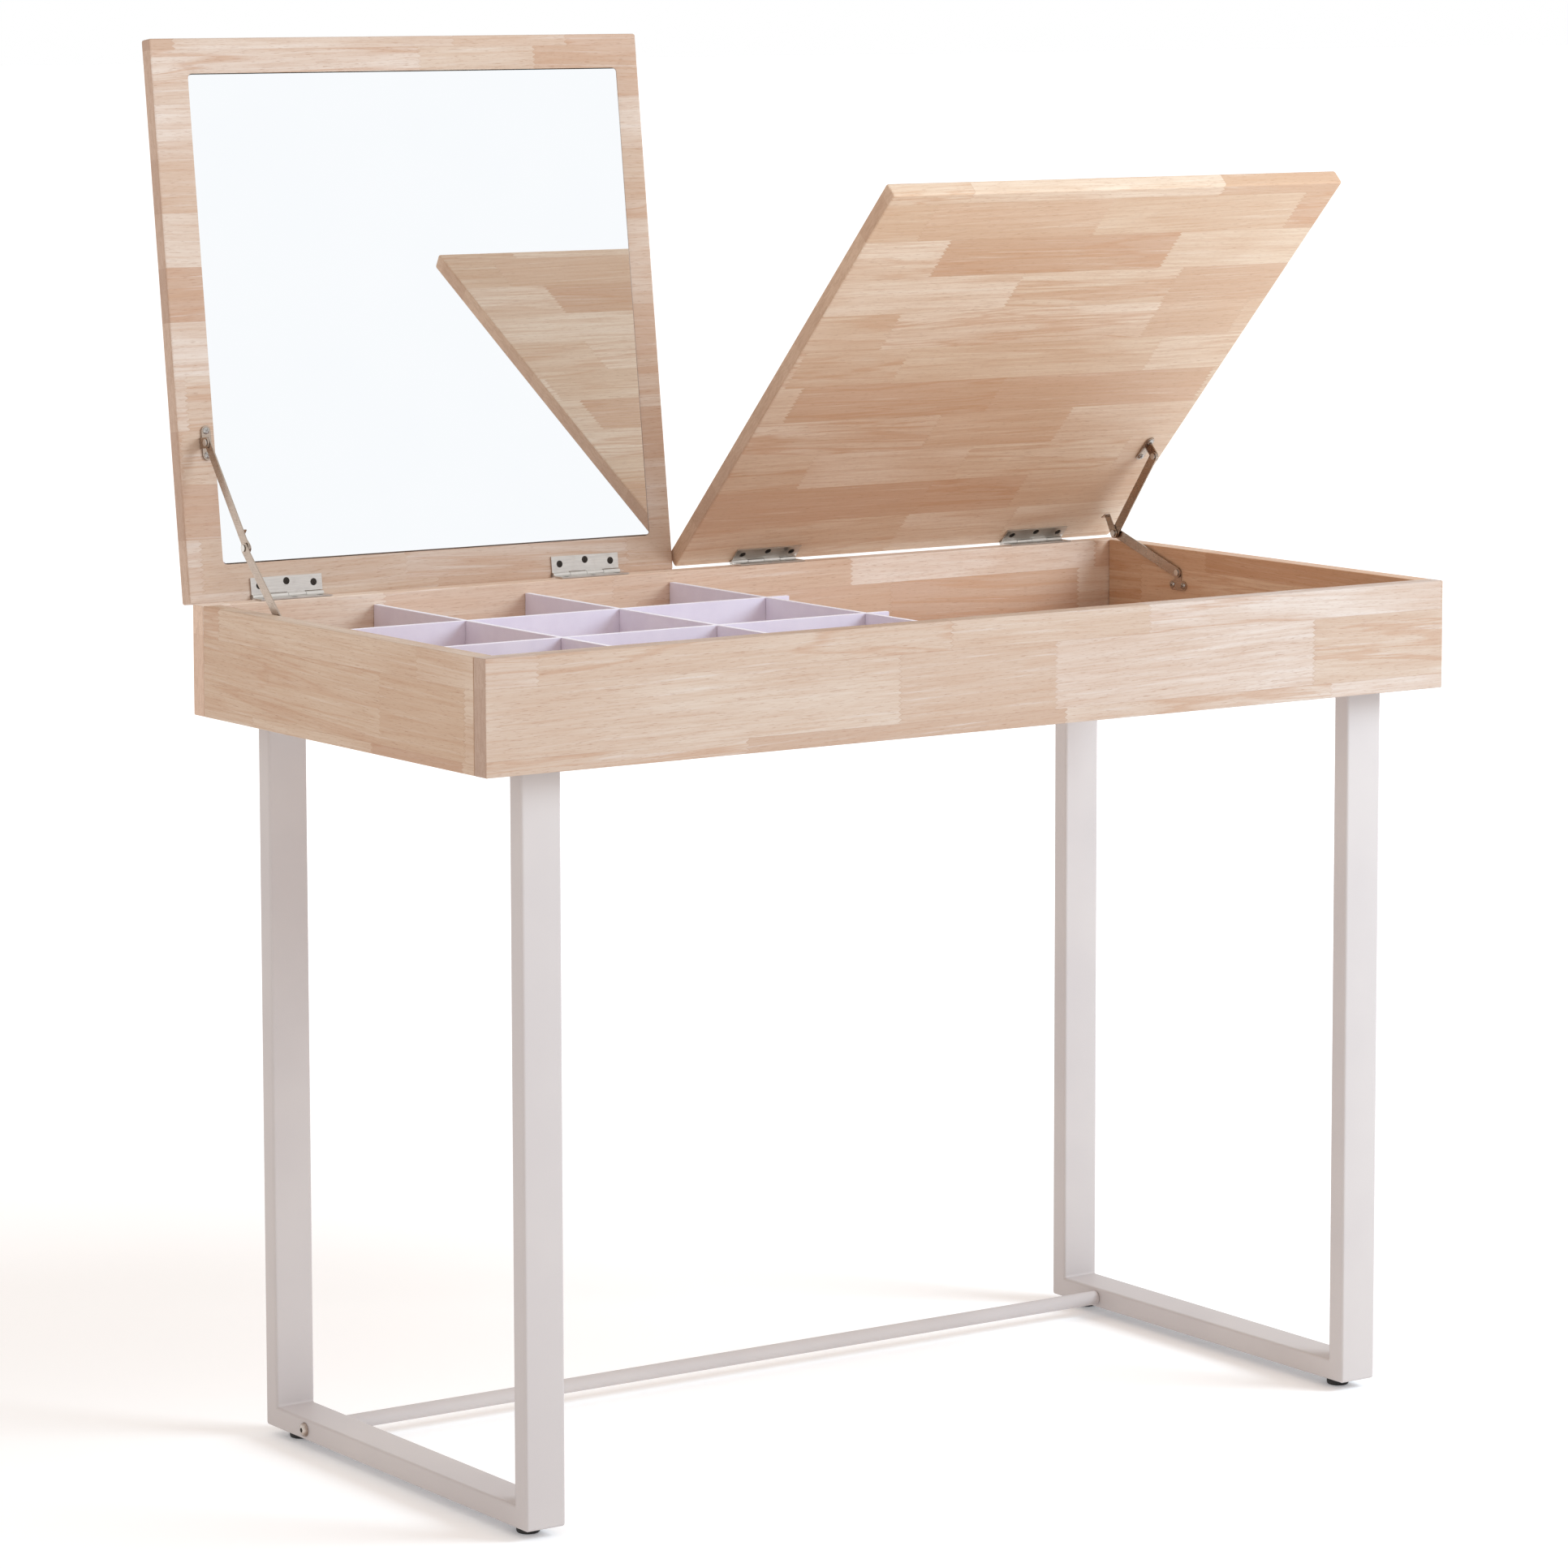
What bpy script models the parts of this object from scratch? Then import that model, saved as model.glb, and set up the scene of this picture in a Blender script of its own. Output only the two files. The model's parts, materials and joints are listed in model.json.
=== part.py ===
"""Dressing table: a shallow wooden box on two steel leg frames, closed by two lids.

The left lid carries a mirror and stands open against its folding stay, and the
right lid covers a storage space and stands half open. Units are metres, with X
to the right, Y to the back and Z up. The origin is on the floor, below the
middle of the whole table's bounding box.
"""

import math

import bmesh
import bpy

MM = 0.001
GAP = 0.3 * MM

# Box
WIDTH = 1.000
DEPTH = 0.480
FRONT = -0.279
BACK = FRONT + DEPTH
LEFT = -WIDTH / 2
WALL = 18 * MM
RIM = 0.732
APRON = 96 * MM
FLOOR_THICKNESS = 12 * MM
FLOOR_TOP = 0.667
GROOVE_DEPTH = 6 * MM
WOOD_ROUND = 1.0 * MM
DOWEL_RADIUS = 4 * MM
DOWEL_LENGTH = 32 * MM
DOWEL_IN_FRONT = 10 * MM
DOWEL_HEIGHTS = (0.645, 0.705)

# Leg frames, stretcher and feet
TUBE_WIDE = 38 * MM
TUBE_THIN = 19 * MM
TUBE_WALL = 1.2 * MM
TUBE_ROUND = 2.5 * MM
FRAME_INSET_X = 49 * MM
FRAME_INSET_Y = 26 * MM
FRAME_DEPTH = 430 * MM
FOOT_HEIGHT = 8 * MM
FOOT_RADIUS = 10 * MM
FOOT_INSET = 28 * MM
FOOT_STEM_RADIUS = 3.5 * MM
STRETCHER_RADIUS = 6.5 * MM
STRETCHER_FROM_BACK = 68 * MM
BOLT_RADIUS = 3 * MM
BOLT_HEAD_RADIUS = 6.3 * MM

# Lids
LID_LENGTH = 488.5 * MM
LID_THICKNESS = 15 * MM
LID_ROUND = 2.0 * MM
LID_BETWEEN = 2 * MM
LID_WIDTH = (WIDTH - LID_BETWEEN) / 2
AXIS_Y = BACK + 3 * MM
AXIS_Z = RIM + 1.5 * MM
LID_PAST_AXIS = 2.5 * MM
LID_ABOVE_AXIS = 1.5 * MM
MIRROR_OPEN = 97.0
STORAGE_OPEN = 45.5
GLASS_THICKNESS = 4 * MM
GLASS_SIDE_MARGIN = 36 * MM
GLASS_MIDDLE_MARGIN = 24 * MM
GLASS_REAR_MARGIN = 33.5 * MM
GLASS_FRONT_MARGIN = 31.5 * MM
GLASS_CORNER = 3 * MM
GLASS_CLEARANCE = 0.8 * MM

# Butt hinges
HINGE_LENGTH = 71 * MM
HINGE_FROM_LID_MIDDLE = 154 * MM
LEAF_REACH = 17 * MM
LEAF_THICKNESS = 1.0 * MM
LEAF_OFF_AXIS = 0.2 * MM
BARREL_RADIUS = 2.5 * MM
BARREL_CLEARANCE = 0.4 * MM
GROOVE_CLEARANCE = 0.3 * MM
PIN_RADIUS = 1.0 * MM
KNUCKLES = 4
LEAF_SCREW_RADIUS = 3.2 * MM
LEAF_SCREWS = ((-27 * MM, -10 * MM), (0.0, -12.5 * MM), (27 * MM, -10 * MM))

# Folding stays: distances of the layers are from the side panel's inner face
BRACKET_LAYER = (0.3 * MM, 1.3 * MM)
LOWER_ARM_LAYER = (1.6 * MM, 2.8 * MM)
COLLAR_LAYER = (3.1 * MM, 3.7 * MM)
TAB_LAYER = (2.5 * MM, 3.7 * MM)
UPPER_ARM_LAYER = (4.0 * MM, 5.2 * MM)
LEVER_LAYER = (5.5 * MM, 6.5 * MM)
HEAD_LAYER = (6.8 * MM, 7.6 * MM)
ARM_HALF_WIDTH = 4.75 * MM
RIVET_RADIUS = 1.5 * MM
RIVET_HOLE = 1.8 * MM
RIVET_HEAD = 3.1 * MM
PIVOT_BELOW_AXIS = 9.5 * MM
FLANGE_HALF_SPACING = 10.5 * MM
FLANGE_SCREW_IN = 9 * MM
FLANGE_THICKNESS = 1.2 * MM
LOBE_RADIUS = 4.5 * MM
PLATE_SCREW_X = 8 * MM
PLATE_SCREW_DOWN = 12 * MM
LEVER_LENGTH = 19 * MM
LEVER_HALF_WIDTH = 3.5 * MM
LEVER_TAB_REACH = 6 * MM

# Dividers
BOARD = 5 * MM
BOARD_TOP = 0.7225
BOARD_SLOT = 0.35 * MM
LONG_BOARD_X = (172 * MM, 328 * MM, 482 * MM)
CROSS_BOARD_Y = (158 * MM, 310 * MM)
CROSS_BOARD_END = 505 * MM

PALETTE = {
    "wood": ((0.58, 0.43, 0.31, 1.0), 0.55, 0.0),
    "frame_paint": ((0.72, 0.69, 0.66, 1.0), 0.45, 0.0),
    "satin_steel": ((0.62, 0.60, 0.58, 1.0), 0.32, 1.0),
    "black_rubber": ((0.03, 0.03, 0.03, 1.0), 0.7, 0.0),
    "mirror": ((0.9, 0.92, 0.93, 1.0), 0.03, 1.0),
    "divider_board": ((0.72, 0.68, 0.80, 1.0), 0.5, 0.0),
}


def clear_scene():
    for old in list(bpy.data.objects):
        bpy.data.objects.remove(old, do_unlink=True)


def make_collection(name):
    collection = bpy.data.collections.new(name)
    bpy.context.scene.collection.children.link(collection)
    return collection


def make_material(name):
    color, roughness, metallic = PALETTE[name]
    material = bpy.data.materials.new(name)
    material.use_nodes = True
    shader = material.node_tree.nodes["Principled BSDF"]
    shader.inputs["Base Color"].default_value = color
    shader.inputs["Roughness"].default_value = roughness
    shader.inputs["Metallic"].default_value = metallic
    return material


clear_scene()
TABLE = make_collection("vanity_table")
CUTTERS = make_collection("cutters")
MATERIALS = {name: make_material(name) for name in PALETTE}


# Building blocks

def add_object(name, data, material, parent=None, location=(0, 0, 0), rotation=(0, 0, 0)):
    """Link a new object to the table's collection, or to the cutters' where it has no material."""
    piece = bpy.data.objects.new(name, data)
    piece.location = location
    piece.rotation_euler = rotation
    piece.parent = parent
    if material:
        data.materials.append(MATERIALS[material])
        TABLE.objects.link(piece)
    else:
        CUTTERS.objects.link(piece)
        piece.hide_render = True
        piece.display_type = "WIRE"
    return piece


def add_axis(name, location, angle=0.0, parent=None):
    """An empty on a joint's axis, turned by angle degrees about X."""
    empty = bpy.data.objects.new(name, None)
    empty.location = location
    empty.rotation_euler = (math.radians(angle), 0, 0)
    empty.empty_display_size = 0.03
    empty.parent = parent
    TABLE.objects.link(empty)
    return empty


def box_mesh(name, size):
    mesh = bpy.data.meshes.new(name)
    shape = bmesh.new()
    bmesh.ops.create_cube(shape, size=1.0)
    bmesh.ops.scale(shape, vec=size, verts=shape.verts)
    shape.to_mesh(mesh)
    shape.free()
    return mesh


def box(name, low, high, material=None, parent=None):
    size = [b - a for a, b in zip(low, high)]
    middle = [(a + b) / 2 for a, b in zip(low, high)]
    return add_object(name, box_mesh(name, size), material, parent, middle)


def round_edges(piece, width, segments=2):
    bevel = piece.modifiers.new("rounded edges", "BEVEL")
    bevel.width = width
    bevel.segments = segments
    bevel.limit_method = "ANGLE"
    bevel.angle_limit = math.radians(40)
    return bevel


def boolean(piece, operation, other):
    modifier = piece.modifiers.new(operation.lower(), "BOOLEAN")
    modifier.operation = operation
    modifier.object = other
    modifier.solver = "EXACT"


def cut(piece, cutter):
    boolean(piece, "DIFFERENCE", cutter)


def join(piece, other):
    """Unite a helper with the piece; the helper itself isn't part of the table."""
    boolean(piece, "UNION", other)


def smooth(piece, angle=35):
    piece.data.shade_smooth()
    piece.data.set_sharp_from_angle(angle=math.radians(angle))


def cylinder(
    name, radius, length, material=None, parent=None, location=(0, 0, 0), rotation=(0, 0, 0), sides=16,
):
    """A cylinder along its own Z, centred on its origin."""
    mesh = bpy.data.meshes.new(name)
    shape = bmesh.new()
    bmesh.ops.create_cone(
        shape, cap_ends=True, segments=sides, radius1=radius, radius2=radius, depth=length
    )
    shape.to_mesh(mesh)
    shape.free()
    piece = add_object(name, mesh, material, parent, location, rotation)
    smooth(piece)
    return piece


def turned(
    name, profile, material, parent=None, location=(0, 0, 0), rotation=(0, 0, 0), closed=False, steps=24,
):
    """Turn a profile of (radius, height) points about Z. It runs down the outer side."""
    mesh = bpy.data.meshes.new(name)
    points = [(radius, 0.0, height) for radius, height in profile]
    edges = [(i, i + 1) for i in range(len(points) - 1)]
    if closed:
        edges.append((len(points) - 1, 0))
    mesh.from_pydata(points, edges, [])
    piece = add_object(name, mesh, material, parent, location, rotation)
    screw = piece.modifiers.new("turned", "SCREW")
    screw.axis = "Z"
    screw.steps = steps
    screw.render_steps = steps
    screw.use_merge_vertices = True
    screw.merge_threshold = 0.00001
    return piece


def arc(centre, radius, start, end, steps):
    """Points on an arc, from start to end degrees, both ends included."""
    points = []
    for i in range(steps + 1):
        angle = math.radians(start + (end - start) * i / steps)
        points.append((centre[0] + radius * math.cos(angle), centre[1] + radius * math.sin(angle)))
    return points


def circle(centre, radius, steps=14):
    return arc(centre, radius, 0, 360, steps)[:-1]


def flat_plate(name, outline, holes, low, high):
    """Mesh of an outline in the XY plane with round holes, from height low to high."""
    curve = bpy.data.curves.new(name, "CURVE")
    curve.dimensions = "2D"
    curve.fill_mode = "BOTH"
    curve.extrude = (high - low) / 2
    for points in [outline] + [circle(*hole) for hole in holes]:
        spline = curve.splines.new("POLY")
        spline.points.add(len(points) - 1)
        for point, (x, y) in zip(spline.points, points):
            point.co = (x, y, 0, 1)
        spline.use_cyclic_u = True
    guide = bpy.data.objects.new(name + "_outline", curve)
    CUTTERS.objects.link(guide)
    graph = bpy.context.evaluated_depsgraph_get()
    mesh = bpy.data.meshes.new_from_object(guide.evaluated_get(graph))
    bpy.data.objects.remove(guide)
    shape = bmesh.new()
    shape.from_mesh(mesh)
    bmesh.ops.remove_doubles(shape, verts=shape.verts, dist=0.00001)
    bmesh.ops.translate(shape, verts=shape.verts, vec=(0, 0, (low + high) / 2))
    bmesh.ops.recalc_face_normals(shape, faces=shape.faces)
    shape.to_mesh(mesh)
    shape.free()
    mesh.name = name
    return mesh


# Box

def drill_dowel_holes(panel, x_places):
    for x in x_places:
        for front in (True, False):
            for height in DOWEL_HEIGHTS:
                hole = cylinder(
                    "dowel_hole", DOWEL_RADIUS + GAP, DOWEL_LENGTH + 2 * GAP,
                    location=(x, dowel_middle(front), height), rotation=(math.pi / 2, 0, 0),
                )
                cut(panel, hole)


def dowel_middle(front):
    inward = WALL - DOWEL_IN_FRONT + DOWEL_LENGTH / 2
    return FRONT + inward if front else BACK - inward


def make_box():
    reach = WALL - GROOVE_DEPTH
    groove = box(
        "floor_groove",
        (LEFT + reach, FRONT + reach, FLOOR_TOP - FLOOR_THICKNESS - GAP),
        (-LEFT - reach, BACK - reach, FLOOR_TOP + GAP),
    )
    low_z = RIM - APRON
    side_x = (LEFT + WALL / 2, -LEFT - WALL / 2)
    panels = [
        (box("front_panel", (LEFT, FRONT, low_z), (-LEFT, FRONT + WALL, RIM), "wood"), side_x),
        (box("back_panel", (LEFT, BACK - WALL, low_z), (-LEFT, BACK, RIM), "wood"), side_x),
        (box("left_side_panel", (LEFT, FRONT + WALL + GAP, low_z),
             (LEFT + WALL, BACK - WALL - GAP, RIM), "wood"), side_x[:1]),
        (box("right_side_panel", (-LEFT - WALL, FRONT + WALL + GAP, low_z),
             (-LEFT, BACK - WALL - GAP, RIM), "wood"), side_x[1:]),
    ]
    for panel, x_places in panels:
        round_edges(panel, WOOD_ROUND)
        cut(panel, groove)
        drill_dowel_holes(panel, x_places)
    edge = reach + GAP
    box(
        "bottom_panel",
        (LEFT + edge, FRONT + edge, FLOOR_TOP - FLOOR_THICKNESS),
        (-LEFT - edge, BACK - edge, FLOOR_TOP),
        "wood",
    )
    for side, x in zip(("left", "right"), side_x):
        for end, front in (("front", True), ("back", False)):
            for level, height in zip(("lower", "upper"), DOWEL_HEIGHTS):
                cylinder(
                    f"dowel_{end}_{side}_{level}", DOWEL_RADIUS, DOWEL_LENGTH, "wood",
                    location=(x, dowel_middle(front), height), rotation=(math.pi / 2, 0, 0),
                )


# Leg frames

def frame_x(side):
    """Lowest and highest X of a leg frame; side is -1 for the left and 1 for the right."""
    outer = side * (WIDTH / 2 - FRAME_INSET_X)
    inner = outer - side * TUBE_WIDE
    return min(outer, inner), max(outer, inner)


FRAME_FRONT = FRONT + FRAME_INSET_Y
FRAME_BACK = FRAME_FRONT + FRAME_DEPTH
FRAME_TOP = FLOOR_TOP - FLOOR_THICKNESS - GAP
FOOT_PLACES = {"front": FRAME_FRONT + FOOT_INSET, "back": FRAME_BACK - FOOT_INSET}
STRETCHER_Y = FRAME_BACK - STRETCHER_FROM_BACK
STRETCHER_Z = FOOT_HEIGHT + TUBE_THIN / 2


def make_leg_frame(name, side):
    """A welded rectangle of thin tube. The bores of its feet and bolt open the hollow inside."""
    low_x, high_x = frame_x(side)
    middle_x = (low_x + high_x) / 2
    frame = box(name, (low_x, FRAME_FRONT, FOOT_HEIGHT), (high_x, FRAME_BACK, FRAME_TOP), "frame_paint")
    window = box(
        name + "_window",
        (low_x - TUBE_THIN, FRAME_FRONT + TUBE_THIN, FOOT_HEIGHT + TUBE_THIN),
        (high_x + TUBE_THIN, FRAME_BACK - TUBE_THIN, FRAME_TOP - TUBE_THIN),
    )
    cut(frame, window)
    round_edges(frame, TUBE_ROUND)
    hollow = frame.modifiers.new("tube wall", "SOLIDIFY")
    hollow.thickness = TUBE_WALL
    hollow.offset = -1
    hollow.use_even_offset = True
    for end, y in FOOT_PLACES.items():
        bore = cylinder(
            f"{name}_{end}_foot_bore", FOOT_STEM_RADIUS + GAP, 4 * TUBE_WALL,
            location=(middle_x, y, FOOT_HEIGHT),
        )
        cut(frame, bore)
    bolt_bore = cylinder(
        name + "_bolt_bore", BOLT_RADIUS + GAP, 2 * TUBE_WIDE,
        location=(middle_x, STRETCHER_Y, STRETCHER_Z), rotation=(0, math.pi / 2, 0),
    )
    cut(frame, bolt_bore)


def make_foot(name, x, y):
    """A low glide with a rounded rim, on a stem that is pushed into the tube."""
    top = FOOT_HEIGHT - GAP
    rim = 2 * MM
    stem_top = FOOT_HEIGHT + 8 * MM
    profile = [(0.0, stem_top), (FOOT_STEM_RADIUS, stem_top), (FOOT_STEM_RADIUS, top)]
    profile += [(FOOT_RADIUS, top), (FOOT_RADIUS, rim)]
    profile += arc((FOOT_RADIUS - rim, rim), rim, 0, -90, 3)[1:]
    profile += [(0.0, 0.0)]
    turned(name, profile, "black_rubber", location=(x, y, 0))


def make_stretcher():
    """A round tube between the bottom rails, with a bored plug in each end."""
    half = -frame_x(-1)[1] - GAP
    plug = 14 * MM
    bore = STRETCHER_RADIUS - TUBE_WALL
    plug_bore = BOLT_RADIUS + GAP
    profile = [
        (STRETCHER_RADIUS, half), (STRETCHER_RADIUS, -half), (plug_bore, -half), (plug_bore, plug - half),
        (bore, plug - half), (bore, half - plug), (plug_bore, half - plug), (plug_bore, half),
    ]
    turned(
        "stretcher", profile, "frame_paint", closed=True, steps=20,
        location=(0, STRETCHER_Y, STRETCHER_Z), rotation=(0, math.pi / 2, 0),
    )


def make_bolt(name, side):
    """A domed bolt from the frame's outer face into the stretcher's end; its own +Z points outward."""
    outer = WIDTH / 2 - FRAME_INSET_X
    reach = TUBE_WIDE + 12 * MM
    dome = 3.6 * MM
    base = GAP
    profile = [(0.0, base + dome)]
    for i in range(1, 5):
        angle = math.radians(90 - 90 * i / 4)
        profile.append((BOLT_HEAD_RADIUS * math.cos(angle), base + dome * math.sin(angle)))
    profile += [(BOLT_RADIUS, base), (BOLT_RADIUS, -reach), (0.0, -reach)]
    turned(
        name, profile, "satin_steel", location=(side * outer, STRETCHER_Y, STRETCHER_Z),
        rotation=(0, side * math.pi / 2, 0),
    )


def make_legs():
    for word, side in (("left", -1), ("right", 1)):
        make_leg_frame(word + "_leg_frame", side)
        make_bolt(f"stretcher_bolt_{word}", side)
        for end, y in FOOT_PLACES.items():
            make_foot(f"foot_{end}_{word}", sum(frame_x(side)) / 2, y)
    make_stretcher()


# Lids, in the closed position about their own axis

def lid_middle(side):
    return side * (LID_WIDTH + LID_BETWEEN) / 2


def hinge_places(side):
    middle = lid_middle(side)
    return (("left", middle - HINGE_FROM_LID_MIDDLE), ("right", middle + HINGE_FROM_LID_MIDDLE))


def make_lid(name, side, axis):
    """The lid's rear edge hangs over the hinge axis, with a groove for each hinge's barrels."""
    low_x = lid_middle(side) - LID_WIDTH / 2
    lid = box(
        name, (low_x, LID_PAST_AXIS - LID_LENGTH, LID_ABOVE_AXIS),
        (low_x + LID_WIDTH, LID_PAST_AXIS, LID_ABOVE_AXIS + LID_THICKNESS), "wood", axis,
    )
    round_edges(lid, LID_ROUND)
    for word, x in hinge_places(side):
        cut(lid, cylinder(
            f"{name}_{word}_groove", BARREL_RADIUS + GROOVE_CLEARANCE, HINGE_LENGTH + 2 * MM,
            parent=axis, location=(x, 0, 0), rotation=(0, math.pi / 2, 0),
        ))
    return lid


def rounded_rectangle(low, high, radius):
    corners = [
        ((high[0] - radius, high[1] - radius), 0), ((low[0] + radius, high[1] - radius), 90),
        ((low[0] + radius, low[1] + radius), 180), ((high[0] - radius, low[1] + radius), 270),
    ]
    points = []
    for centre, start in corners:
        points += arc(centre, radius, start, start + 90, 3)
    return points


def make_mirror(lid, axis):
    """The glass lies flush in a recess of the lid's underside."""
    low = (LEFT + GLASS_SIDE_MARGIN, LID_PAST_AXIS - LID_LENGTH + GLASS_FRONT_MARGIN)
    high = (-LID_BETWEEN / 2 - GLASS_MIDDLE_MARGIN, LID_PAST_AXIS - GLASS_REAR_MARGIN)
    outline = rounded_rectangle(low, high, GLASS_CORNER)
    glass = flat_plate("mirror_glass", outline, [], LID_ABOVE_AXIS, LID_ABOVE_AXIS + GLASS_THICKNESS)
    add_object("mirror_glass", glass, "mirror", axis)
    wide_low = [value - GLASS_CLEARANCE for value in low]
    wide_high = [value + GLASS_CLEARANCE for value in high]
    wide = rounded_rectangle(wide_low, wide_high, GLASS_CORNER + GLASS_CLEARANCE)
    recess = flat_plate("mirror_recess", wide, [], -LID_ABOVE_AXIS, LID_ABOVE_AXIS + GLASS_THICKNESS + GAP)
    cut(lid, add_object("mirror_recess", recess, None, axis))


# Hinges, about their own axis

def knuckle_range(index):
    step = HINGE_LENGTH / KNUCKLES
    low = -HINGE_LENGTH / 2 + step * index
    return low + GAP / 2, low + step - GAP / 2


def leaf_outline(own):
    """A plate with a tongue to each knuckle of its own, cut back at the other leaf's knuckles."""
    half = HINGE_LENGTH / 2
    clear = -BARREL_RADIUS - BARREL_CLEARANCE
    points = [(-half, -LEAF_REACH), (half, -LEAF_REACH), (half, clear)]
    for index in reversed(own):
        low, high = knuckle_range(index)
        points += [(high, clear), (high, 0.0), (low, 0.0), (low, clear)]
    points.append((-half, clear))
    return drop_repeats(points)


def drop_repeats(points, tolerance=0.2 * MM):
    kept = [points[0]]
    for point in points[1:]:
        if math.dist(point, kept[-1]) > tolerance:
            kept.append(point)
    return kept


def make_leaf(name, own, above, parent, location):
    """One leaf with its barrels. The leaf above the axis goes under the lid."""
    near, far = LEAF_OFF_AXIS, LEAF_OFF_AXIS + LEAF_THICKNESS
    low, high = (near, far) if above else (-far, -near)
    holes = [(place, LEAF_SCREW_RADIUS) for place in LEAF_SCREWS]
    plate = flat_plate(name, leaf_outline(own), holes, low, high)
    leaf = add_object(name, plate, "satin_steel", parent, location)
    for index in own:
        start, end = knuckle_range(index)
        barrel = cylinder(
            f"{name}_barrel", BARREL_RADIUS, end - start, parent=leaf,
            location=((start + end) / 2, 0, 0), rotation=(0, math.pi / 2, 0),
        )
        join(leaf, barrel)
    bore = cylinder(
        f"{name}_bore", PIN_RADIUS + GAP, HINGE_LENGTH + 2 * MM,
        parent=leaf, rotation=(0, math.pi / 2, 0), sides=12,
    )
    cut(leaf, bore)
    smooth(leaf)


def make_hinge(name, x, axis):
    make_leaf(name + "_lid_leaf", (0, 2), True, axis, (x, 0, 0))
    make_leaf(name + "_box_leaf", (1, 3), False, None, (x, AXIS_Y, AXIS_Z))
    cylinder(
        name + "_pin", PIN_RADIUS, HINGE_LENGTH - GAP, "satin_steel",
        location=(x, AXIS_Y, AXIS_Z), rotation=(0, math.pi / 2, 0), sides=12,
    )


# Folding stays

def turn(y, z, degrees):
    angle = math.radians(degrees)
    return (y * math.cos(angle) - z * math.sin(angle), y * math.sin(angle) + z * math.cos(angle))


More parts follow.
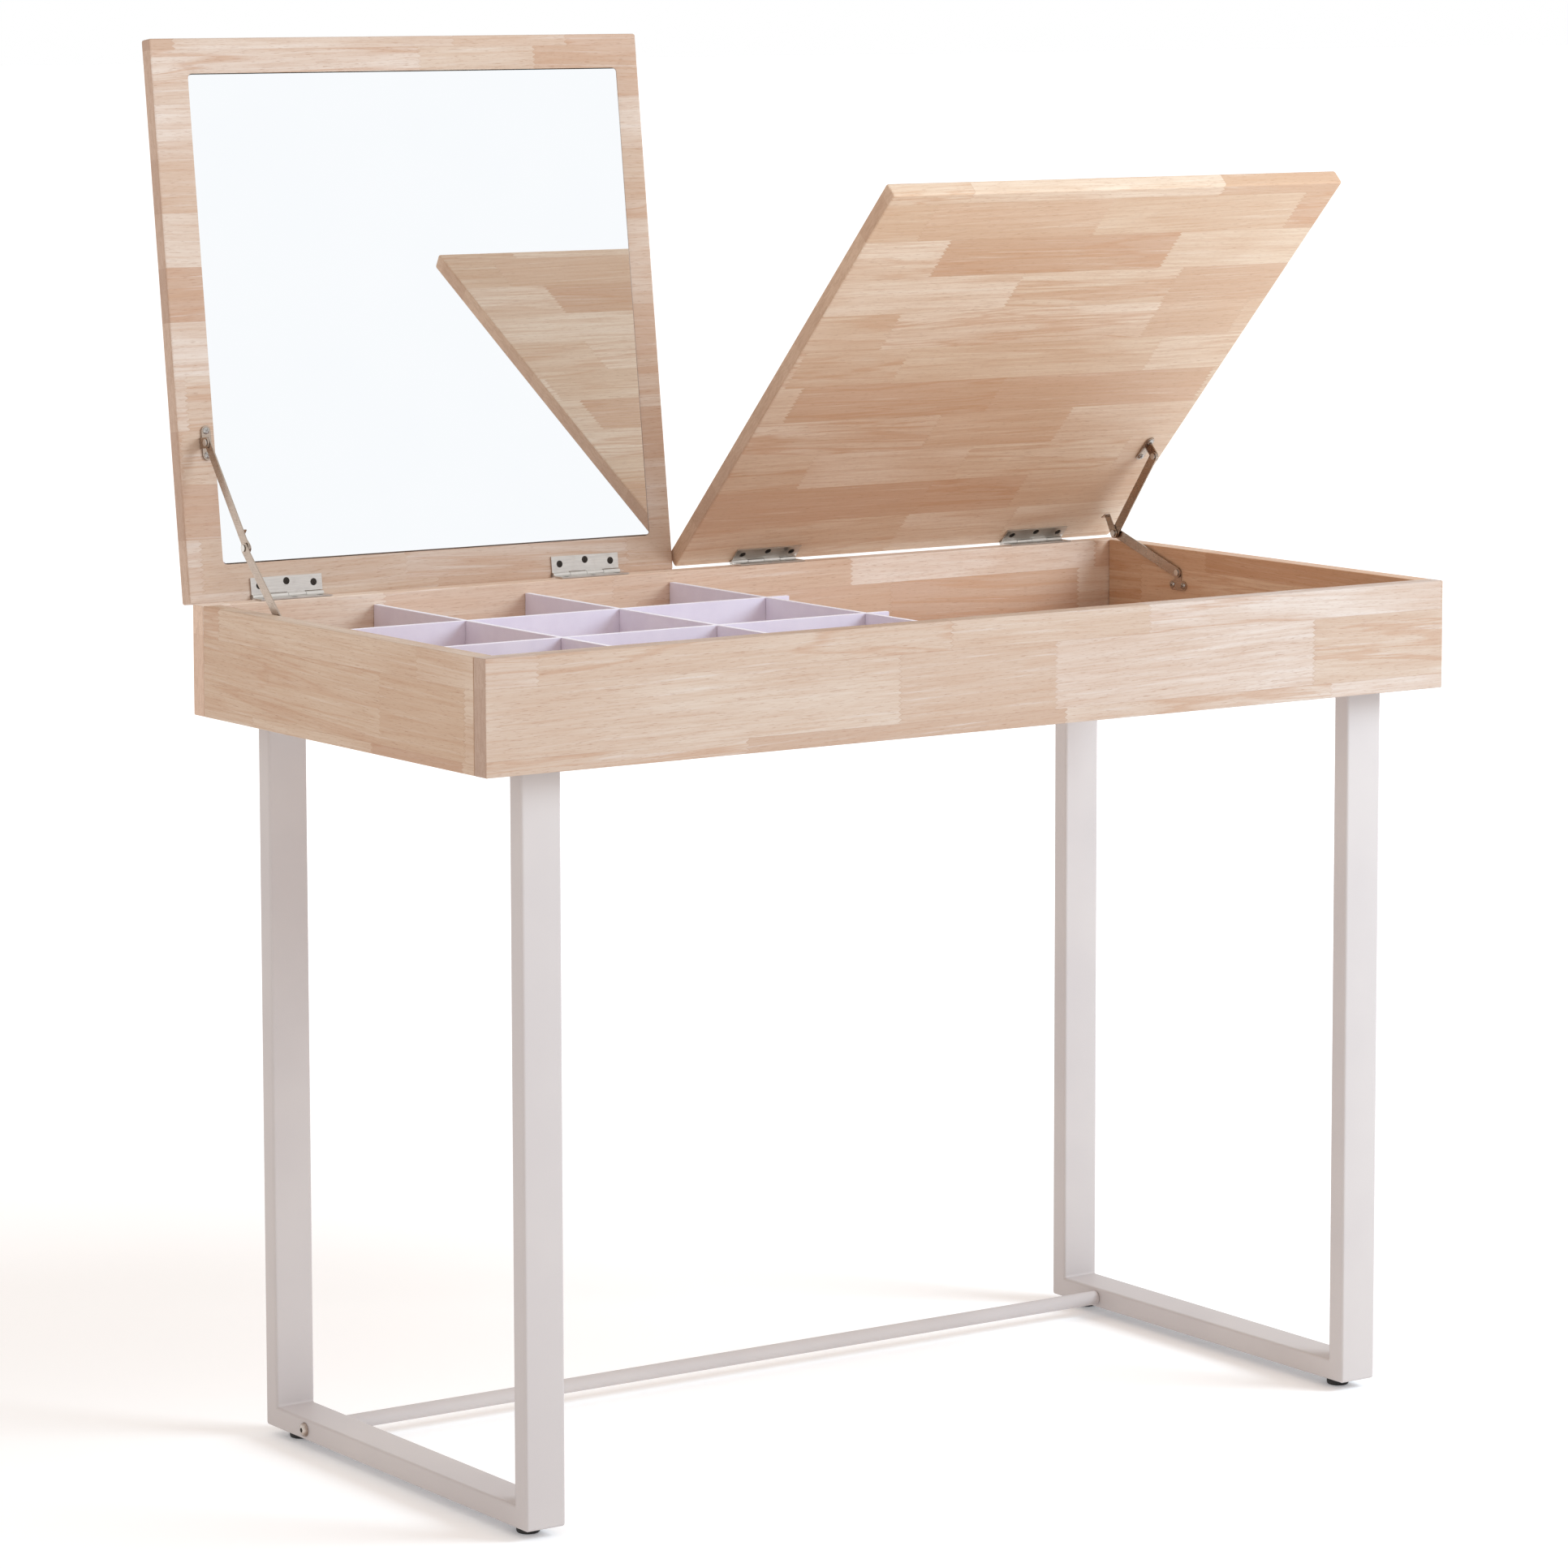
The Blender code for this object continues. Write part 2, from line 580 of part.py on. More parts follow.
class Stay:
    """One stay: a lower arm on the side panel, an upper arm on the lid, and the elbow between them.

    Places are (y, z) at rest. The elbow lies behind the line between the two outer pivots.
    """

    def __init__(self, name, side, lid_axis, opening, base, lid_reach, arm, lever_angle):
        self.name = name
        self.side = side
        self.lid_axis = lid_axis
        self.base = base
        self.lid_reach = lid_reach
        self.arm = arm
        self.lever_angle = lever_angle
        y, z = turn(-lid_reach, -PIVOT_BELOW_AXIS, -opening)
        self.lid_pivot = (AXIS_Y + y, AXIS_Z + z)
        self.elbow = self.find_elbow()
        self.lower_angle = self.direction(self.base, self.elbow)
        self.upper_angle = self.direction(self.lid_pivot, self.elbow)

    def find_elbow(self):
        y, z = (b - a for a, b in zip(self.base, self.lid_pivot))
        span = math.hypot(y, z)
        height = math.sqrt(self.arm ** 2 - span ** 2 / 4)
        middle = [(a + b) / 2 for a, b in zip(self.base, self.lid_pivot)]
        return middle[0] + height * z / span, middle[1] - height * y / span

    @staticmethod
    def direction(start, end):
        return math.degrees(math.atan2(end[1] - start[1], end[0] - start[0]))

    def x(self, distance):
        """X of a plane at a distance from the side panel's inner face, toward the table's middle."""
        return self.side * (WIDTH / 2 - WALL - distance)

    def upright_plate(self, name, outline, holes, layer, parent, origin=(0.0, 0.0), material="satin_steel"):
        """A flat plate in the YZ plane, in a layer beside the side panel. Its outline is (y, z)."""
        low, high = sorted((self.x(layer[0]), self.x(layer[1])))
        mesh = flat_plate(name, outline, holes, low, high)
        turned_up = (math.pi / 2, 0, math.pi / 2)
        return add_object(name, mesh, material, parent, (0, origin[0], origin[1]), turned_up)

    def rivet(self, name, steps, parent, origin=(0.0, 0.0)):
        """A turned rivet along X. Steps are (radius, from, to) distances, from the panel inward."""
        steps = sorted(steps, key=lambda step: step[1], reverse=True)
        profile = [(0.0, steps[0][2])]
        for radius, low, high in steps:
            profile += [(radius, high), (radius, low)]
        profile.append((0.0, steps[-1][1]))
        return turned(
            name, profile, "satin_steel", parent, steps=14,
            location=(self.x(0), origin[0], origin[1]), rotation=(0, -self.side * math.pi / 2, 0),
        )

    def arm_plate(self, name, layer, parent):
        """A strip with round ends, from its empty's origin along the empty's +Y."""
        outline = arc((0, 0), ARM_HALF_WIDTH, 90, 270, 8) + arc((self.arm, 0), ARM_HALF_WIDTH, -90, 90, 8)
        holes = [((0, 0), RIVET_HOLE), ((self.arm, 0), RIVET_HOLE)]
        self.upright_plate(name, outline, holes, layer, parent)

    def make_base_bracket(self):
        """A plate with two screw lobes below a neck that carries the lower arm."""
        y, z = PLATE_SCREW_X, -PLATE_SCREW_DOWN
        neck = ARM_HALF_WIDTH
        outline = arc((0, 0), neck, 0, 180, 8)
        outline += [(-neck, z + LOBE_RADIUS)]
        outline += arc((-y, z), LOBE_RADIUS, 90, 270, 6)
        outline += arc((y, z), LOBE_RADIUS, -90, 90, 6)
        outline += [(neck, z + LOBE_RADIUS)]
        holes = [((0, 0), RIVET_HOLE), ((-y, z), RIVET_HOLE), ((y, z), RIVET_HOLE)]
        self.upright_plate(self.name + "_base_bracket", outline, holes, BRACKET_LAYER, None, self.base)
        self.rivet(
            self.name + "_base_rivet",
            [(RIVET_RADIUS, BRACKET_LAYER[0] + GAP, COLLAR_LAYER[0]), (RIVET_HEAD, *COLLAR_LAYER)],
            None, self.base,
        )

    def make_lid_bracket(self):
        """A flange under the lid, and a tab hanging from it that carries the upper arm."""
        name = self.name + "_lid_bracket"
        far = -self.side * (FLANGE_SCREW_IN - TAB_LAYER[0])
        half = FLANGE_HALF_SPACING
        origin = (self.x(TAB_LAYER[0]), -self.lid_reach)
        neck = ARM_HALF_WIDTH
        outline = self.flange_outline(far, half, neck)
        holes = [((far, -half), RIVET_HOLE), ((far, half), RIVET_HOLE)]
        low = LID_ABOVE_AXIS - GAP - FLANGE_THICKNESS
        flange = flat_plate(name, outline, holes, low, low + FLANGE_THICKNESS)
        bracket = add_object(name, flange, "satin_steel", self.lid_axis, (*origin, 0))
        tab_outline = arc((0, -PIVOT_BELOW_AXIS), neck, 180, 360, 8)
        top = low + FLANGE_THICKNESS / 2
        tab_outline += [(neck, top), (-neck, top)]
        tab = self.upright_plate(
            name + "_tab", tab_outline, [((0, -PIVOT_BELOW_AXIS), RIVET_HOLE)], TAB_LAYER,
            self.lid_axis, (-self.lid_reach, 0), None,
        )
        join(bracket, tab)

    @staticmethod
    def flange_outline(far, half, neck):
        """Two lobes beyond a neck that starts at x = 0, counter-clockwise for either sign of far."""
        sign = 1 if far > 0 else -1
        turns = [math.radians(a) for a in range(0, 181, 30)]
        lobe = [(sign * LOBE_RADIUS * math.cos(a), LOBE_RADIUS * math.sin(a)) for a in turns]
        points = [(0.0, -neck), (far - sign * LOBE_RADIUS, -neck)]
        points += [(far - x, -half - y) for x, y in lobe]
        points += [(far + x, half + y) for x, y in lobe]
        points += [(far - sign * LOBE_RADIUS, neck), (0.0, neck)]
        return points if sign > 0 else points[::-1]

    def make_lever(self, parent, origin):
        """A short release lever beside the elbow, with its end bent into a finger tab."""
        name = self.name + "_lever"
        outline = arc((0, 0), ARM_HALF_WIDTH, 90, 270, 6)
        outline += [(LEVER_LENGTH, -LEVER_HALF_WIDTH), (LEVER_LENGTH, LEVER_HALF_WIDTH)]
        lever = self.upright_plate(name, outline, [((0, 0), RIVET_HOLE)], LEVER_LAYER, parent, origin)
        thickness = LEVER_LAYER[1] - LEVER_LAYER[0]
        low_x, high_x = sorted((self.x(LEVER_LAYER[0]), self.x(LEVER_LAYER[0] + LEVER_TAB_REACH)))
        tab = box(
            name + "_tab", (low_x, LEVER_LENGTH - thickness, -LEVER_HALF_WIDTH),
            (high_x, LEVER_LENGTH, LEVER_HALF_WIDTH), None, parent,
        )
        join(lever, tab)

    def make(self, elbow_closed):
        """Where the elbow is closed one rivet joins both arms, and the upper arm hangs on it.
        Otherwise the upper arm hangs on the lid's rivet, and the elbow's parts only meet."""
        self.make_base_bracket()
        self.make_lid_bracket()
        lower = add_axis(self.name + "_base_axis", (0, *self.base), self.lower_angle)
        self.arm_plate(self.name + "_lower_arm", LOWER_ARM_LAYER, lower)
        outer_head = (LOWER_ARM_LAYER[0] - GAP - 0.8 * MM, LOWER_ARM_LAYER[0] - GAP)
        lid_head = (TAB_LAYER[0] - GAP - 0.8 * MM, TAB_LAYER[0] - GAP)
        inner_head = (UPPER_ARM_LAYER[1] + GAP, UPPER_ARM_LAYER[1] + GAP + 0.8 * MM)
        lower_steps = [(RIVET_HEAD, *outer_head), (RIVET_RADIUS, outer_head[1], COLLAR_LAYER[0])]
        if elbow_closed:
            upper = add_axis(self.name + "_elbow_axis", (0, *self.elbow), self.upper_angle + 180)
            shank = (RIVET_RADIUS, outer_head[1], HEAD_LAYER[0])
            self.rivet(
                self.name + "_elbow_rivet", [lower_steps[0], shank, (RIVET_HEAD, *HEAD_LAYER)],
                lower, (self.arm, 0),
            )
            self.rivet(
                self.name + "_lid_rivet",
                [(RIVET_RADIUS, UPPER_ARM_LAYER[0], inner_head[0]), (RIVET_HEAD, *inner_head)],
                upper, (self.arm, 0),
            )
        else:
            upper = add_axis(self.name + "_lid_pivot_axis", (0, *self.lid_pivot), self.upper_angle)
            self.rivet(
                self.name + "_elbow_rivet", lower_steps + [(RIVET_HEAD, *COLLAR_LAYER)],
                lower, (self.arm, 0),
            )
            self.rivet(
                self.name + "_lid_rivet",
                [
                    (RIVET_HEAD, *lid_head), (RIVET_RADIUS, lid_head[1], inner_head[0]),
                    (RIVET_HEAD, *inner_head),
                ],
                self.lid_axis, (-self.lid_reach, -PIVOT_BELOW_AXIS),
            )
            self.rivet(
                self.name + "_lever_rivet",
                [(RIVET_RADIUS, UPPER_ARM_LAYER[0], HEAD_LAYER[0]), (RIVET_HEAD, *HEAD_LAYER)],
                upper, (self.arm, 0),
            )
        self.arm_plate(self.name + "_upper_arm", UPPER_ARM_LAYER, upper)
        lever = add_axis(self.name + "_lever_axis", (0, *self.elbow), self.lever_angle)
        self.make_lever(lever, (0, 0))


# Dividers

def make_dividers():
    """Three boards from front to back and two across them, half-lapped where they cross."""
    low_z = FLOOR_TOP + GAP
    lap = (low_z + BOARD_TOP) / 2
    front, back = FRONT + WALL + 2 * GAP, BACK - WALL - 2 * GAP
    over = 2 * MM
    for number, place in enumerate(LONG_BOARD_X, 1):
        x = LEFT + place
        board = box(
            f"long_divider_{number}", (x - BOARD / 2, front, low_z),
            (x + BOARD / 2, back, BOARD_TOP), "divider_board",
        )
        for across in CROSS_BOARD_Y:
            y = FRONT + across
            half = BOARD / 2 + BOARD_SLOT
            cut(board, box(
                "lap", (x - BOARD, y - half, lap - GAP / 2), (x + BOARD, y + half, BOARD_TOP + over),
            ))
    for word, across in zip(("front", "back"), CROSS_BOARD_Y):
        y = FRONT + across
        board = box(
            f"cross_divider_{word}", (LEFT + WALL + 2 * GAP, y - BOARD / 2, low_z),
            (LEFT + CROSS_BOARD_END, y + BOARD / 2, BOARD_TOP), "divider_board",
        )
        for place in LONG_BOARD_X:
            x = LEFT + place
            half = BOARD / 2 + BOARD_SLOT
            cut(board, box(
                "lap", (x - half, y - BOARD, low_z - over), (x + half, y + BOARD, lap + GAP / 2),
            ))


def main():
    make_box()
    make_legs()
    mirror_axis = add_axis("mirror_lid_axis", (0, AXIS_Y, AXIS_Z), -MIRROR_OPEN)
    storage_axis = add_axis("storage_lid_axis", (0, AXIS_Y, AXIS_Z), -STORAGE_OPEN)
    mirror_lid = make_lid("mirror_lid_panel", -1, mirror_axis)
    make_mirror(mirror_lid, mirror_axis)
    make_lid("storage_lid_panel", 1, storage_axis)
    for lid, side, axis in (("mirror", -1, mirror_axis), ("storage", 1, storage_axis)):
        for word, x in hinge_places(side):
            make_hinge(f"{lid}_hinge_{word}", x, axis)
    Stay(
        "mirror_stay", -1, mirror_axis, MIRROR_OPEN, (FRONT + 345.5 * MM, 0.709), 136 * MM, 108.4 * MM, 40,
    ).make(elbow_closed=False)
    Stay(
        "storage_stay", 1, storage_axis, STORAGE_OPEN, (FRONT + 354.5 * MM, 0.7095), 126 * MM, 97 * MM, 60,
    ).make(elbow_closed=True)
    make_dividers()


main()
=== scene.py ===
"""Looks, lights and camera for the dressing table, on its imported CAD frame."""

import json
import math

import bmesh
import bpy
from mathutils import Euler, Matrix, Vector


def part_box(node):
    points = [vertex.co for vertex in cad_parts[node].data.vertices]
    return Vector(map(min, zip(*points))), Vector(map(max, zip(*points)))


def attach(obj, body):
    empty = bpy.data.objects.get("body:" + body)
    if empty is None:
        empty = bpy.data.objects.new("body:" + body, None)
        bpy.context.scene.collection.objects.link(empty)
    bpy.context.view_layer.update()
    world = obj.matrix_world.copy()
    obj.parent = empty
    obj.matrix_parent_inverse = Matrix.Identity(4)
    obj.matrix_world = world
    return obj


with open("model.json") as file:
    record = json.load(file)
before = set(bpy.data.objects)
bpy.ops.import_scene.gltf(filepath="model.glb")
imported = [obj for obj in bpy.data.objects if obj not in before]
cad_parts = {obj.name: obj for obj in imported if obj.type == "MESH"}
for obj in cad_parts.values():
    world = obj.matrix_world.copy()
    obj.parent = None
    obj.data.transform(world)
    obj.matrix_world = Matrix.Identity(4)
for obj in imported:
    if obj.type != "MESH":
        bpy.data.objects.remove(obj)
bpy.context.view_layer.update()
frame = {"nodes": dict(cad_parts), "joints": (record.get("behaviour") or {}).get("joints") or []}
NODES = frame["nodes"]
MM = 0.001


def joint_place(name):
    return next(Vector(joint["pos_m"]) for joint in frame["joints"] if joint["name"] == name)


# Both lids turn about one line, and stand open at rest by these angles, in degrees
HINGE_AXIS = joint_place("mirror_lid_hinge")
HINGE_AXIS.x = 0.0
OPENING = {"mirror": 97.0, "storage": 45.5}

# Boards: the usual stave, and the zigzag of its finger joints
STAVE_WIDTH = 47 * MM
STAVE_RUN = 0.40
FINGER_PITCH = 4.5 * MM
FINGER_SLOPE = 1.6

# Fittings: display colours from 0 to 255, and where the bolts' axis runs. SOCKET_HALF is half
# the width of the dark hexagon socket painted on their heads, across its flats
STEEL_TINT = (224, 220, 215)
STAY_TINT = (186, 171, 158)
SCREW_TINT = (188, 184, 180)
BOLT_Y, BOLT_Z = 109 * MM, 17.5 * MM
SOCKET_HALF = 2.1 * MM

# Edges
WELD_REACH = 0.01 * MM
SHARPEST_SMOOTH = math.radians(38)
SHEET_EDGE, ARM_EDGE, ROUND_EDGE, DOWEL_EDGE = 0.15 * MM, 0.25 * MM, 0.4 * MM, 0.5 * MM

# Screws: where they sit on a hinge leaf, from its middle and the hinge axis, in millimetres
LEAF_SCREWS = ((-27, -10), (0, -12.5), (27, -10))
LEAF_SEAT = 1.15 * MM
SIDE_INNER_FACE = 482 * MM
BASE_PLATE = 1.3 * MM
BASE_SCREW_DROP = 12 * MM
BASE_SCREWS = {"front": -8, "back": 8}
LID_SCREW_INSET = 9 * MM
LID_BRACKET_REACH = {"mirror": 136, "storage": 126}
LID_SCREWS = {"front": -10.5, "back": 10.5}

# Light: the colours are linear
KEY_PLACE, KEY_TARGET = (2.6, -2.6, 2.6), (0.0, 0.0, 0.7)
KEY_SIZE, KEY_POWER = 2.2, 124
KEY_COLOUR = (0.74, 0.885, 1.0)
ROOM_COLOUR = (0.83, 0.765, 0.715, 1.0)
BACKDROP_COLOUR = (1.0, 1.0, 1.0, 1.0)
FLOOR_HALF = 60.0
FLOOR_GLOW_COLOUR = (0.86, 0.93, 1.0, 1.0)
FLOOR_GLOW_NEAR, FLOOR_GLOW_FAR = 0.6, 3.2
FLOOR_GLOW = (0.15, 0.44)

# Camera
EYE = (-2.8673, -4.1355, 1.2811)
LOOK_DOWN, LOOK_ASIDE, ROLL = 0.1155, -0.6029, -0.0019
LENS, SENSOR, LENS_SHIFT = 131.93, 36.0, -0.0999
FARTHEST = 200.0


def srgb(red, green, blue):
    """A linear colour from 0 to 255 display values."""
    parts = []
    for value in (red, green, blue):
        value /= 255
        parts.append(value / 12.92 if value <= 0.04045 else ((value + 0.055) / 1.055) ** 2.4)
    return (*parts, 1.0)


# Materials

class Net:
    """One material's node tree, with short calls for the nodes it is made of."""

    def __init__(self, name, **shader):
        self.material = bpy.data.materials.new(name)
        self.material.use_nodes = True
        self.tree = self.material.node_tree
        self.shader = self.tree.nodes["Principled BSDF"]
        for key, value in shader.items():
            socket = key.replace("_", " ").title().replace("Ior", "IOR")
            self.shader.inputs[socket].default_value = value

    def put(self, socket, value):
        if isinstance(value, bpy.types.NodeSocket):
            self.tree.links.new(value, socket)
        else:
            socket.default_value = value

    def node(self, kind, *values, **settings):
        """A node with its first inputs filled in order."""
        node = self.tree.nodes.new("ShaderNode" + kind)
        for key, value in settings.items():
            setattr(node, key, value)
        for socket, value in zip(node.inputs, values):
            self.put(socket, value)
        return node

    def math(self, operation, *values):
        return self.node("Math", *values, operation=operation).outputs[0]

    def combine(self, x, y, z):
        return self.node("CombineXYZ", x, y, z).outputs[0]

    def noise(self, vector, detail=2.0, roughness=0.5, distortion=0.0):
        """Noise of size 1, so the vector carries the scale."""
        node = self.node("TexNoise")
        self.put(node.inputs["Vector"], vector)
        node.inputs["Scale"].default_value = 1.0
        node.inputs["Detail"].default_value = detail
        node.inputs["Roughness"].default_value = roughness
        node.inputs["Distortion"].default_value = distortion
        return node.outputs[0]

    def chance(self, x, y, z):
        """White noise of three numbers, as (value, colour)."""
        node = self.node("TexWhiteNoise", self.combine(x, y, z))
        return node.outputs[0], node.outputs[1]

    def ramp(self, value, low, high, to_low=0.0, to_high=1.0):
        """A smooth step from to_low at low to to_high at high."""
        limits = (value, low, high, to_low, to_high)
        return self.node("MapRange", *limits, interpolation_type="SMOOTHSTEP").outputs[0]

    def mix(self, factor, first, second):
        """One colour into another. Inputs 6 and 7 are the node's two colours."""
        node = self.tree.nodes.new("ShaderNodeMix")
        node.data_type = "RGBA"
        self.put(node.inputs[0], factor)
        self.put(node.inputs[6], first)
        self.put(node.inputs[7], second)
        return node.outputs[2]

    def scaled(self, vector, x, y, z):
        return self.node("VectorMath", vector, (x, y, z), operation="MULTIPLY").outputs[0]

    def place(self):
        return self.node("TexCoord").outputs["Object"]

    def facing(self):
        return self.node("TexCoord").outputs["Normal"]

    def surface(self, colour, roughness):
        self.put(self.shader.inputs["Base Color"], colour)
        self.put(self.shader.inputs["Roughness"], roughness)

    def bump(self, height, strength, distance):
        node = self.node("Bump")
        node.inputs["Strength"].default_value = strength
        node.inputs["Distance"].default_value = distance
        self.put(node.inputs["Height"], height)
        self.put(self.shader.inputs["Normal"], node.outputs[0])


def closed_place(net, opening):
    """Coordinates of a lid as if it were closed, about its hinge axis."""
    turn = Matrix.Rotation(math.radians(opening), 3, "X")
    node = net.node("Mapping", net.place(), vector_type="POINT")
    node.inputs["Location"].default_value = turn @ -HINGE_AXIS
    node.inputs["Rotation"].default_value = (math.radians(opening), 0, 0)
    return node.outputs[0]


def wood(name, order, seed, opening=None, stave=STAVE_WIDTH, start=0.0, length=STAVE_RUN,
         shade=(1.0, 1.0, 1.0), blush=0.42):
    """Finger-jointed rubberwood.

    order names the axes along the grain, across the staves and through the board. opening is
    the angle that a lid stands at. stave is the width of a row, start is where a joint between
    two rows lies, and each length of a row holds two staves. shade multiplies the linear
    colour; it is partly the board's own tone and partly painted light and shade, the board made
    lighter or darker for how the light falls on it. blush is how pink the pinker staves are.
    """

    # Every colour of the board is multiplied by shade, so it carries painted light and shade as
    # well as the board's own tone
    def colour_with_painted_light(*colour):
        return (*(value * factor for value, factor in zip(srgb(*colour)[:3], shade)), 1.0)

    net = Net(name, specular_ior_level=0.35, coat_weight=0.12, coat_roughness=0.35)
    place = net.place() if opening is None else closed_place(net, opening)
    split = net.node("SeparateXYZ", place)
    along, across, through = (split.outputs["XYZ".index(letter)] for letter in order)

    # Staves: rows across, cut to random lengths along
    rows = net.math("DIVIDE", net.math("SUBTRACT", across, start), stave)
    row = net.math("FLOOR", rows)
    row_chance = net.chance(row, seed, 0.5)[0]
    teeth = net.math("PINGPONG", across, FINGER_PITCH / 2)
    jagged = net.math("MULTIPLY_ADD", teeth, FINGER_SLOPE, along)
    run = net.math("MULTIPLY_ADD", row_chance, 9.0, net.math("DIVIDE", jagged, length))
    cell = net.math("FLOOR", run)
    part = net.math("SUBTRACT", run, cell)
    cut_at = net.math("MULTIPLY_ADD", net.chance(row, cell, seed + 0.25)[0], 0.5, 0.25)
    second = net.math("GREATER_THAN", part, cut_at)
    stave_id = net.math("MULTIPLY_ADD", second, 0.5, cell)
    tone, stave_chance = net.chance(row, stave_id, seed)
    chances = net.node("SeparateXYZ", stave_chance)

    # Grain coordinates: each stave comes from its own place in the tree, slightly slanted
    slant = net.math("MULTIPLY", net.math("SUBTRACT", chances.outputs[1], 0.5), 0.07)
    drift = net.math("MULTIPLY_ADD", along, slant, across)
    grain = net.combine(along, drift, through)
    spread = (stave_chance, (7.0, 7.0, 7.0), grain)
    moved = net.node("VectorMath", *spread, operation="MULTIPLY_ADD").outputs[0]
    wave = net.noise(net.scaled(moved, 5.0, 22.0, 22.0), 2.0)
    figure = net.noise(net.scaled(moved, 3.0, 48.0, 48.0), 3.0, 0.55, 0.6)
    streak = net.noise(net.scaled(moved, 9.0, 330.0, 330.0), 5.0, 0.62, 0.3)
    fibre = net.noise(net.scaled(moved, 45.0, 1500.0, 1500.0), 3.0, 0.6)
    pores = net.ramp(net.noise(net.scaled(moved, 110.0, 2100.0, 2100.0), 1.0), 0.62, 0.72)
    patches = net.ramp(wave, 0.40, 0.62)

    # Colour
    pale = colour_with_painted_light(225, 206, 190)
    warm = colour_with_painted_light(211, 185, 161)
    rosy = colour_with_painted_light(190, 155, 129)
    base = net.mix(net.ramp(tone, 0.05, 0.8, 0.1, 0.9), pale, warm)
    base = net.mix(net.ramp(tone, 0.75, 1.0, 0.0, 0.7), base, rosy)
    base = net.mix(net.ramp(chances.outputs[0], 0.58, 0.82, 0.0, blush), base, colour_with_painted_light(200, 160, 137))
    ring = net.math("ABSOLUTE", net.math("SUBTRACT", figure, 0.5))
    ring = net.ramp(ring, 0.0, 0.05, 1.0, 0.0)
    ring = net.math("MULTIPLY", ring, net.ramp(chances.outputs[2], 0.35, 0.9, 0.1, 0.5))
    base = net.mix(net.math("MULTIPLY", patches, 0.48), base, colour_with_painted_light(200, 167, 141))
    base = net.mix(ring, base, colour_with_painted_light(190, 142, 108))
    base = net.mix(net.ramp(streak, 0.42, 0.75, 0.0, 0.52), base, colour_with_painted_light(193, 153, 124))
    base = net.mix(net.ramp(streak, 0.27, 0.45, 0.42, 0.0), base, colour_with_painted_light(225, 210, 198))
    base = net.mix(net.ramp(fibre, 0.45, 0.8, 0.0, 0.36), base, colour_with_painted_light(181, 141, 113))
    base = net.mix(net.math("MULTIPLY", pores, 0.5), base, colour_with_painted_light(164, 118, 88))

    # Glue lines between rows, and the joints at the stave ends
    middle = net.math("SUBTRACT", net.math("FRACT", rows), 0.5)
    gap = net.math("SUBTRACT", 0.5, net.math("ABSOLUTE", middle))
    glue = net.ramp(gap, 0.0, 0.007, 0.30, 0.0)
    nearest = net.math("MINIMUM", net.math("ABSOLUTE", net.math("SUBTRACT", part, cut_at)), part)
    ends = net.ramp(nearest, 0.0, 0.0014, 0.35, 0.0)
    joints = net.math("MAXIMUM", glue, ends)
    base = net.mix(joints, base, colour_with_painted_light(168, 126, 98))

    # End grain where a face looks along the grain
    facing = net.node("SeparateXYZ", net.facing()).outputs["XYZ".index(order[0])]
    end = net.ramp(net.math("ABSOLUTE", facing), 0.55, 0.85)
    specks = net.noise(net.scaled(moved, 10.0, 1300.0, 1300.0), 2.0, 0.6)
    arcs = net.noise(net.scaled(moved, 1.0, 90.0, 420.0), 2.0, 0.5, 1.0)
    end_colour = net.mix(net.ramp(tone, 0.0, 1.0), colour_with_painted_light(202, 170, 146), colour_with_painted_light(188, 153, 129))
    end_colour = net.mix(net.ramp(arcs, 0.4, 0.65, 0.0, 0.4), end_colour, colour_with_painted_light(172, 135, 110))
    end_colour = net.mix(net.ramp(specks, 0.5, 0.75, 0.0, 0.35), end_colour, colour_with_painted_light(150, 113, 91))
    rough = net.math("MULTIPLY_ADD", end, 0.08, net.ramp(streak, 0.3, 0.7, 0.40, 0.54))
    net.surface(net.mix(end, base, end_colour), rough)

    height = net.math("SUBTRACT", net.math("MULTIPLY", streak, 0.6), pores)
    height = net.math("SUBTRACT", height, net.math("MULTIPLY", joints, 2.0))
    net.bump(height, 0.25, 0.15 * MM)
    return net.material


def powder_coat():
    """Fine matt paint with a slight orange peel."""
    net = Net("powder_coat", specular_ior_level=0.4)
    place = net.place()
    peel = net.noise(net.scaled(place, 700.0, 700.0, 700.0), 2.0)
    grit = net.noise(net.scaled(place, 3200.0, 3200.0, 3200.0), 2.0, 0.6)
    cloud = net.noise(net.scaled(place, 6.0, 6.0, 6.0), 3.0)
    paint = net.mix(net.ramp(cloud, 0.35, 0.65), srgb(194, 187, 186), srgb(199, 192, 190))
    paint = net.mix(net.ramp(grit, 0.55, 0.8, 0.0, 0.2), paint, srgb(177, 172, 169))
    net.surface(paint, net.ramp(grit, 0.3, 0.7, 0.42, 0.55))
    net.bump(net.math("MULTIPLY_ADD", grit, 0.4, peel), 0.18, 0.12 * MM)
    return net.material


def satin_steel(name, along, opening=None, tint=STEEL_TINT, rough=0.34):
    """Plated steel with fine rolling marks along one axis."""
    net = Net(name, metallic=1.0)
    place = net.place() if opening is None else closed_place(net, opening)
    scale = [1900.0] * 3
    scale["XYZ".index(along)] = 60.0
    lines = net.noise(net.scaled(place, *scale), 3.0, 0.6)
    smudge = net.noise(net.scaled(place, 160.0, 160.0, 160.0), 3.0, 0.6)
    low, high = srgb(*(value - 16 for value in tint)), srgb(*tint)
    colour = net.mix(net.ramp(lines, 0.3, 0.7), low, high)
    colour = net.mix(net.ramp(smudge, 0.5, 0.8, 0.0, 0.35), colour, low)
    worn = net.ramp(smudge, 0.4, 0.8, rough - 0.07, rough + 0.07)
    net.surface(colour, net.math("MULTIPLY_ADD", lines, 0.10, worn))
    net.bump(lines, 0.06, 0.04 * MM)
    return net.material


